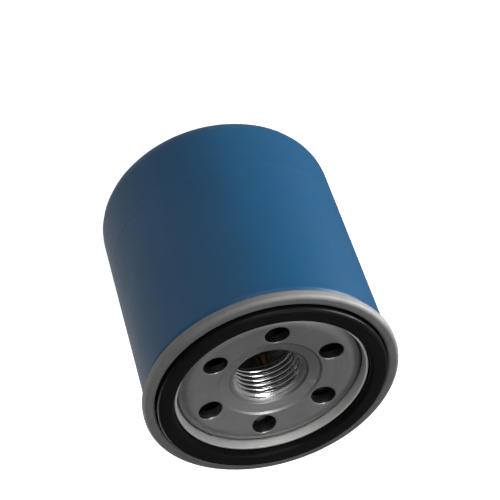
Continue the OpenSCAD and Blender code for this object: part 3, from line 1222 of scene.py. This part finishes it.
@dataclass
class DrainValve(SubAssembly):
    """Rubber disc clamped round the collar, whose lip rests under the plate."""

    bore: float = 11.1
    under: float = 58.85
    clamp_top: float = 60.95
    clamp_low: float = 15.2
    clamp_high: float = 14.2
    cone_low: tuple[Point, Point] = ((16.2, 60.0), (22.9, 63.8))
    cone_high: Point = (21.9, 64.8)
    lip: tuple[float, float] = (22.4, 23.3)
    lip_top: float = 65.95
    kept: float = 0.789

    def build(self) -> None:
        """Builds the disc, with its own mesh."""
        foot, shoulder = self.cone_low
        inside, outside = self.lip
        outline = rounded([
            (self.bore, self.under, 0.3), (self.clamp_low, self.under, 0.4), (*foot, 0.8), (*shoulder, 0.6),
            (outside, self.lip_top, 0.3), (inside, self.lip_top, 0.3), (*self.cone_high, 0.6),
            (self.clamp_high, self.clamp_top, 0.6), (self.bore, self.clamp_top, 0.2)], closed=True)
        made = lathe("valve_flap", outline, Slot.VALVE_RUBBER.material)
        self.fit(made, "shell", Slot.VALVE_RUBBER, "antidrain_valve",
                 crush=Crush("antidrain_lift", self.under, self.kept))


@dataclass
class Element(SubAssembly):
    """Filter element: end caps, pleated paper, centre tube, spring cup and the spring that presses it up."""

    under: float = 16.0
    sheet: float = 0.4
    top: float = 58.8
    cap_radius: float = 28.7
    tube_radius: float = 13.0
    seat: float = 5.6
    media_radius: float = 27.8
    media_inner: float = 13.5
    media_low: float = 18.4
    media_high: float = 56.4
    paper: float = 0.5
    pleats: int = 48
    tube_columns: int = 8
    tube_rows: int = 5
    tube_first: float = 35.4
    tube_step: float = 4.0
    tube_end: float = 0.4
    tube_hole: float = 1.8
    spring_radius: float = 13.0
    spring_wire: float = 1.8
    spring_foot: float = 0.4
    spring_turns: float = 3.5
    spring_kept: float = 0.934
    neck: float = 11.5
    neck_drop: float = 4.0
    rim_drop: float = 3.0
    seat_rise: float = 1.6
    cup_bore: float = 7.1
    cup_radius: float = 14.9
    cut_edge: float = 0.06
    fold_in: float = 0.45
    fold_out: float = 0.72
    fold_bends: tuple[float, float] = (0.4, 0.6)
    levels: int = 8

    def build(self) -> None:
        """Builds the element's pieces, from the caps to the spring."""
        m = self.sheet / 2
        cap, top, low, seat = self.cap_radius - m, self.top - m, self.under + m, self.seat + m
        outlines = {
            ("end_cap_top", "upper_end_cap"): [
                (self.neck, self.top - self.neck_drop, 0), (self.neck, top, 0.5), (cap, top, 0.6),
                (cap, self.top - self.rim_drop, 0)],
            ("end_cap_low", "lower_end_cap"): [
                (seat, self.under + self.seat_rise, 0), (seat, low, 0.3), (cap, low, 0.6),
                (cap, self.under + self.rim_drop, 0)],
            ("spring_seat", "spring_cup"): [
                (self.cup_bore, self.under - m, 0), (self.cup_radius, self.under - m, 0.5),
                (self.cup_radius, self.under - self.rim_drop, 0)]}
        for (label, node), outline in outlines.items():
            made = lathe(label, sheet_section(outline, self.sheet, self.cut_edge), Slot.TINPLATE.material,
                         crease=60.0)
            self.fit(made, "element", Slot.TINPLATE, node)
        self.keep("upper_adhesive", Slot.PLASTISOL)
        self.keep("lower_adhesive", Slot.PLASTISOL)
        self.fit(self.pleated_paper(), "element", Slot.FILTER_PAPER, "filter_media")
        self.keep("media_clip", Slot.TINPLATE)
        self.fit(self.tube(), "element", Slot.TINPLATE, "centre_tube")
        spring = coil_spring("lift_spring", self.spring_radius, self.spring_wire, self.spring_foot,
                             self.under - self.sheet, self.spring_turns)
        self.fit(spring, "shell", Slot.SPRING_STEEL, "element_spring",
                 crush=Crush("element_float", self.spring_foot, self.spring_kept))

    def pleated_paper(self) -> bpy.types.Object:
        """Builds one folded pleat and repeats it round the axis.

        Returns:
            The ring of pleats.
        """
        step = math.tau / self.pleats
        valley, peak = self.media_inner + self.paper / 2, self.media_radius - self.paper / 2
        fold_in, fold_out = self.fold_in / valley, self.fold_out / peak
        tight, wide = self.fold_bends

        def spot(r: float, angle: float, radius: float) -> Corner:
            """A corner of the fold at a radius and an angle."""
            return r * math.cos(angle), r * math.sin(angle), radius

        folds = [spot(valley, -step / 2, 0), spot(valley, -step / 2 + fold_in, tight),
                 spot(peak, -fold_out, wide), spot(peak, fold_out, wide),
                 spot(valley, step / 2 - fold_in, tight), spot(valley, step / 2, 0)]
        line = rounded(folds, steps=4)
        left, right = beside(line, self.paper / 2), beside(line, -self.paper / 2)
        for side in (left, right):
            for end, angle in ((0, -step / 2), (-1, step / 2)):
                r = math.hypot(*side[end])
                side[end] = (r * math.cos(angle), r * math.sin(angle))
        count = len(line)
        height = self.media_high - self.media_low
        levels = [self.media_low + height * k / self.levels for k in range(self.levels + 1)]
        points = [(x, y, z) for z in levels for x, y in (*left, *right)]
        faces: list[list[int]] = []
        for k in range(len(levels) - 1):
            a, b = k * 2 * count, (k + 1) * 2 * count
            for i in range(count - 1):
                faces += [[a + i + 1, a + i, b + i, b + i + 1],
                          [a + count + i, a + count + i + 1, b + count + i + 1, b + count + i]]
        for a, flip in ((0, 1), ((len(levels) - 1) * 2 * count, -1)):
            faces += [[a + i, a + i + 1, a + count + i + 1, a + count + i][::flip] for i in range(count - 1)]
        made = ring_of(new_object("pleated_paper", points, (), faces), self.pleats,
                       Slot.FILTER_PAPER.material, first=180 / self.pleats)
        return close_up(made, crease=50.0)

    def tube(self) -> bpy.types.Object:
        """Builds the centre tube from pierced tiles between two plain ends.

        Returns:
            The tube.
        """
        half_across, half_up = 6, 3
        around = self.tube_columns * 2 * half_across
        half = math.pi * self.tube_radius / self.tube_columns
        rise = self.tube_step / 2
        width = [(-half + half * k / half_across, -rise) for k in range(2 * half_across)]
        height = [(half, -rise + rise * k / half_up) for k in range(2 * half_up)]
        rim = width + height + [(-x, -z) for x, z in width] + [(-x, -z) for x, z in height]

        def place(x: float, z: float, deep: float) -> Place:
            """Rolls the flat tile into the tube's wall."""
            angle, r = x / self.tube_radius, self.tube_radius - deep
            return r * math.cos(angle), r * math.sin(angle), self.tube_first + z

        points, faces = holed_patch(rim, (0.0, 0.0), self.tube_hole, self.sheet, place, ease=self.cut_edge,
                                    rings=1)
        tiles = ring_of(new_object("tile", points, (), faces), self.tube_columns, Slot.TINPLATE.material,
                        rows=self.tube_rows, row_step=self.tube_step, row_turn=180 / self.tube_columns)
        r0, r1 = self.tube_radius - self.sheet, self.tube_radius
        first = self.tube_first - rise
        last = first + self.tube_rows * self.tube_step
        ends = [lathe("end", [(r1, near), (r1, far), (r0, far), (r0, near)], Slot.TINPLATE.material,
                      closed=False, finish=False, steps=around)
                for near, far in ((first, self.under + self.tube_end), (last, self.top - self.tube_end))]
        return close_up(join("drain_tube", [tiles, *ends]), crease=40.0)


def coil_spring(name: str, radius: float, wire: float, low: float, high: float,
                turns: float) -> bpy.types.Object:
    """Builds a compression spring with a closed coil at each end.

    Args:
        name: the object's name.
        radius: mean radius of the coils.
        wire: diameter of the wire.
        low: height of its lower end.
        high: height of its upper end.
        turns: number of open turns.

    Returns:
        The spring.
    """
    dead, per, sides, squeeze = 0.75, 40, 16, 0.999
    total = turns + 2 * dead
    pitch = (high - low - 3 * wire) / turns
    steps = round(total * per)
    points: list[Place] = []
    for i in range(steps + 1):
        a = total * i / steps
        climb = (wire * a / dead if a < dead else wire + (a - dead) * pitch if a < dead + turns
                 else wire + turns * pitch + wire * (a - dead - turns) / dead)
        angle = math.tau * a
        points.append((radius * math.cos(angle), radius * math.sin(angle), low + wire / 2 + climb * squeeze))
    made = new_object(name, points, [(i, i + 1) for i in range(steps)])
    run_tree(made, wire_tree(), {"Wire Radius": wire / 2 * MM, "Sides": sides,
                                 "Material": Slot.SPRING_STEEL.material})
    return close_up(made, crease=40.0)


@dataclass
class BypassValve(SubAssembly):
    """Bypass valve in the lower end cap: cage, disc, seal, guide pin, retainer and spring."""

    floor: float = 16.4
    cage_radius: float = 9.4
    cage_top: float = 31.0
    flange: float = 2.4
    disc_z: float = 18.4
    disc_radius: float = 7.6
    disc: float = 0.8
    seal_bore: float = 4.4
    pin: float = 1.2
    pin_head: float = 2.2
    pin_head_drop: float = 0.5
    pin_rise: float = 1.6
    pin_play: float = 0.35
    washer: float = 3.0
    washer_z: tuple[float, float] = (0.5, 0.9)
    sheet: float = 0.4
    spring_radius: float = 4.4
    spring_wire: float = 0.8
    spring_turns: float = 5.5
    spring_kept: float = 0.737
    windows: int = 4
    window_half: float = 3.0
    window_reach: tuple[float, float] = (7.4, 11.4)
    window_z: tuple[float, float] = (2.8, 11.8)

    def build(self) -> None:
        """Builds the valve's pieces."""
        m = self.sheet / 2
        low, high, under = self.disc_z, self.disc_z + self.disc, self.disc_z - self.disc
        head, tip = self.disc_z - self.pin_head_drop, self.cage_top + self.pin_rise
        ring_low, ring_high = (self.cage_top + up for up in self.washer_z)
        self.fit(self.cage(m), "element", Slot.TINPLATE, "bypass_cage")
        turned = (
            ("closing_disc", Slot.TINPLATE, "bypass_disc",
             [(self.pin, low, 0.02), (self.disc_radius, low, 0.12), (self.disc_radius, high, 0.12),
              (self.pin, high, 0.1)]),
            ("closing_seal", Slot.VALVE_RUBBER, "bypass_seal",
             [(self.seal_bore, under, 0.15), (self.disc_radius, under, 0.2), (self.disc_radius, low, 0.1),
              (self.seal_bore, low, 0.1)]),
            ("guide_pin", Slot.SPRING_STEEL, "bypass_stem",
             [(0, head, 0), (self.pin_head, head, 0.2), (self.pin_head, low, 0.1), (self.pin, low, 0),
              (self.pin, tip, 0.3), (0, tip, 0)]),
            ("pin_washer", Slot.TINPLATE, "stem_retainer",
             [(self.pin, ring_low, 0.05), (self.washer, ring_low, 0.1), (self.washer, ring_high, 0.1),
              (self.pin, ring_high, 0.1)]))
        for label, slot, node, path in turned:
            closed = path[0][0] > 0
            made = lathe(label, rounded(path, closed=closed, steps=4), slot.material, closed=closed,
                         steps=AROUND_SMALL)
            self.fit(made, "bypass_valve", slot, node)
        ceiling = self.cage_top - self.sheet
        spring = coil_spring("closing_spring", self.spring_radius, self.spring_wire, high, ceiling,
                             self.spring_turns)
        self.fit(spring, "element", Slot.SPRING_STEEL, "bypass_spring",
                 crush=Crush("bypass_lift", ceiling, self.spring_kept))

    def cage(self, m: float) -> bpy.types.Object:
        """Builds the cage and cuts its four windows.

        Args:
            m: half the sheet's thickness.

        Returns:
            The cage.
        """
        outline = sheet_section([
            (self.cage_radius + self.flange, self.floor + m, 0), (self.cage_radius, self.floor + m, 0.5),
            (self.cage_radius, self.cage_top - m, 0.8), (self.pin + self.pin_play + m, self.cage_top - m, 0)],
            self.sheet, 0.06)
        made = lathe("valve_cage", outline, Slot.TINPLATE.material, crease=60.0, steps=AROUND_SMALL)
        (near, far), half = self.window_reach, self.window_half
        corners = [(x, y, self.floor + up) for up in self.window_z
                   for x, y in ((near, -half), (far, -half), (far, half), (near, half))]
        sides = [[k, (k + 1) % 4, (k + 1) % 4 + 4, k + 4] for k in range(4)]
        box = new_object("window", corners, (), [[3, 2, 1, 0], [4, 5, 6, 7], *sides])
        ring_of(box, self.windows, Slot.TINPLATE.material, first=45.0)
        cut = made.modifiers.new("windows", "BOOLEAN")
        cut.operation, cut.solver, cut.object = "DIFFERENCE", "EXACT", box
        graph = bpy.context.evaluated_depsgraph_get()
        result = bpy.data.meshes.new_from_object(made.evaluated_get(graph))
        made.modifiers.clear()
        made.data = result
        bpy.data.objects.remove(box)
        return close_up(made, crease=40.0, recalculate=False)


# ---- Studio ----------------------------------------------------------------------------------------------


@dataclass(frozen=True)
class SoftBox:
    """A white area light aimed at the filter: its place, size and power."""

    name: str
    place: Place
    size: tuple[float, float]
    power: float


@dataclass
class Studio:
    """Camera, lights, surroundings and a plain pale floor.

    Places are in metres, apart from the floor's own sizes, which are millimetres. The floor and the
    surroundings are white to the camera, and light the filter more dimly and from one side.
    """

    lens: float = 121.68
    sensor: float = 36.0
    clip: tuple[float, float] = (0.01, 50.0)
    eye: Place = (0.0, -0.3466, 0.3371)
    right: Place = (-0.9504, 0.1998, 0.2383)
    up: Place = (-0.3107, -0.6409, -0.7020)
    back: Place = (0.0125, -0.7412, 0.6712)
    boxes: tuple[SoftBox, ...] = (
        SoftBox("top", (-0.18, -0.08, 0.65), (0.12, 0.12), 1.05),
        SoftBox("front", (-0.14, -0.58, 0.25), (0.3, 0.2), 2.4),
        SoftBox("side", (-0.63, -0.07, 0.04), (0.3, 0.08), 9.5),
        SoftBox("back", (0.5, 0.38, 0.04), (0.5, 0.08), 1.6))
    aim: Place = (0.0, 0.0, 0.045)
    sky_seen: float = 1.05
    sky_slope: Place = (-0.9, 0.0, 1.0)
    sky_span: tuple[float, float] = (0.05, 0.7)
    sky_glow: tuple[float, float] = (0.08, 0.4)
    floor_half: float = 1500.0
    floor_z: float = -0.02
    floor_colour: Colour = (0.9, 0.9, 0.9)
    floor_seen: float = 0.85
    floor_slope: Place = (1.0, -0.3, 0.0)
    floor_span: tuple[float, float] = (-0.03, 0.05)
    floor_glow: tuple[float, float] = (0.05, 0.58)

    def build(self) -> None:
        """Builds the studio."""
        self.camera()
        for box in self.boxes:
            self.light(box)
        self.surroundings()
        self.floor()
        scene = bpy.context.scene
        scene.view_settings.view_transform = "Standard"
        scene.view_settings.look = "None"

    def camera(self) -> None:
        """Sets up the camera."""
        data = bpy.data.cameras.new("camera")
        data.lens = self.lens
        data.sensor_width = self.sensor
        data.clip_start, data.clip_end = self.clip
        camera = bpy.data.objects.new("camera", data)
        bpy.context.scene.collection.objects.link(camera)
        turn = Matrix((self.right, self.up, self.back)).transposed().to_4x4()
        camera.matrix_world = Matrix.Translation(self.eye) @ turn
        bpy.context.scene.camera = camera

    def light(self, box: SoftBox) -> None:
        """Sets up one soft light, aimed at the filter above its middle.

        Args:
            box: the light.
        """
        data = bpy.data.lights.new(box.name, "AREA")
        data.shape = "RECTANGLE"
        data.size, data.size_y = box.size
        data.energy = box.power
        lamp = bpy.data.objects.new(box.name, data)
        bpy.context.scene.collection.objects.link(lamp)
        lamp.location = box.place
        way = Vector(self.aim) - Vector(box.place)
        lamp.rotation_euler = way.to_track_quat("-Z", "Y").to_euler()

    @staticmethod
    def glow(bench: Bench, space: str, slope: Place, span: tuple[float, float],
             glow: tuple[float, float]) -> Socket:
        """Makes a brightness that changes along one direction.

        Args:
            bench: the nodes' bench.
            space: the texture coordinates that it reads.
            slope: the direction.
            span: where along it the change starts and ends.
            glow: the brightness at the start and at the end.

        Returns:
            The brightness.
        """
        here = bench.add("ShaderNodeTexCoord").outputs[space]
        along = bench.add("ShaderNodeVectorMath", {0: here, 1: slope}, operation="DOT_PRODUCT")
        return bench.spread(along.outputs["Value"], *span, *glow)

    @staticmethod
    def shown(bench: Bench, lighting: Socket, seen: Socket) -> Socket:
        """Mixes the shader that lights the filter with the one that the camera sees."""
        camera_ray = bench.add("ShaderNodeLightPath").outputs["Is Camera Ray"]
        return bench.add("ShaderNodeMixShader", {0: camera_ray, 1: lighting, 2: seen}).outputs[0]

    def surroundings(self) -> None:
        """Sets up the surround: white to the camera, and a dim glow from one side for the filter."""
        world = bpy.data.worlds.new("surroundings")
        bpy.context.scene.world = world
        bench = cleared_bench(world)
        strength = self.glow(bench, "Generated", self.sky_slope, self.sky_span, self.sky_glow)
        white = bench.add("ShaderNodeBackground", {"Color": WHITE, "Strength": self.sky_seen})
        soft = bench.add("ShaderNodeBackground", {"Color": WHITE, "Strength": strength})
        bench.add("ShaderNodeOutputWorld", {"Surface": self.shown(bench, soft.outputs[0], white.outputs[0])})

    def floor(self) -> None:
        """Lays a wide, pale, matt floor that glows less towards the filter than towards the camera."""
        half = self.floor_half
        corners = [(x * half, y * half, self.floor_z) for x, y in ((-1, -1), (1, -1), (1, 1), (-1, 1))]
        made = new_object("floor", corners, (), [[0, 1, 2, 3]])
        material = bpy.data.materials.new("pale_floor")
        bench = cleared_bench(material)
        strength = self.glow(bench, "Object", self.floor_slope, self.floor_span, self.floor_glow)
        dim = bench.add("ShaderNodeEmission", {"Color": WHITE, "Strength": strength})
        matt = bench.add("ShaderNodeBsdfDiffuse", {"Color": (*self.floor_colour, 1)})
        glow = bench.add("ShaderNodeEmission", {"Color": WHITE, "Strength": self.floor_seen})
        lit = bench.add("ShaderNodeAddShader", {0: matt.outputs[0], 1: glow.outputs[0]})
        bench.add("ShaderNodeOutputMaterial", {"Surface": self.shown(bench, dim.outputs[0], lit.outputs[0])})
        made.data.materials.append(material)


def main() -> None:
    """Builds the filter and its studio, and reports each piece."""
    logging.basicConfig(level=logging.INFO, format="%(message)s")
    groups: Iterable[SubAssembly] = (Can(), Lid(), Plate(), Gasket(), DrainValve(), Element(), BypassValve())
    for group in groups:
        group.build()
        group.report()
    Studio().build()


if __name__ == "__main__":
    main()
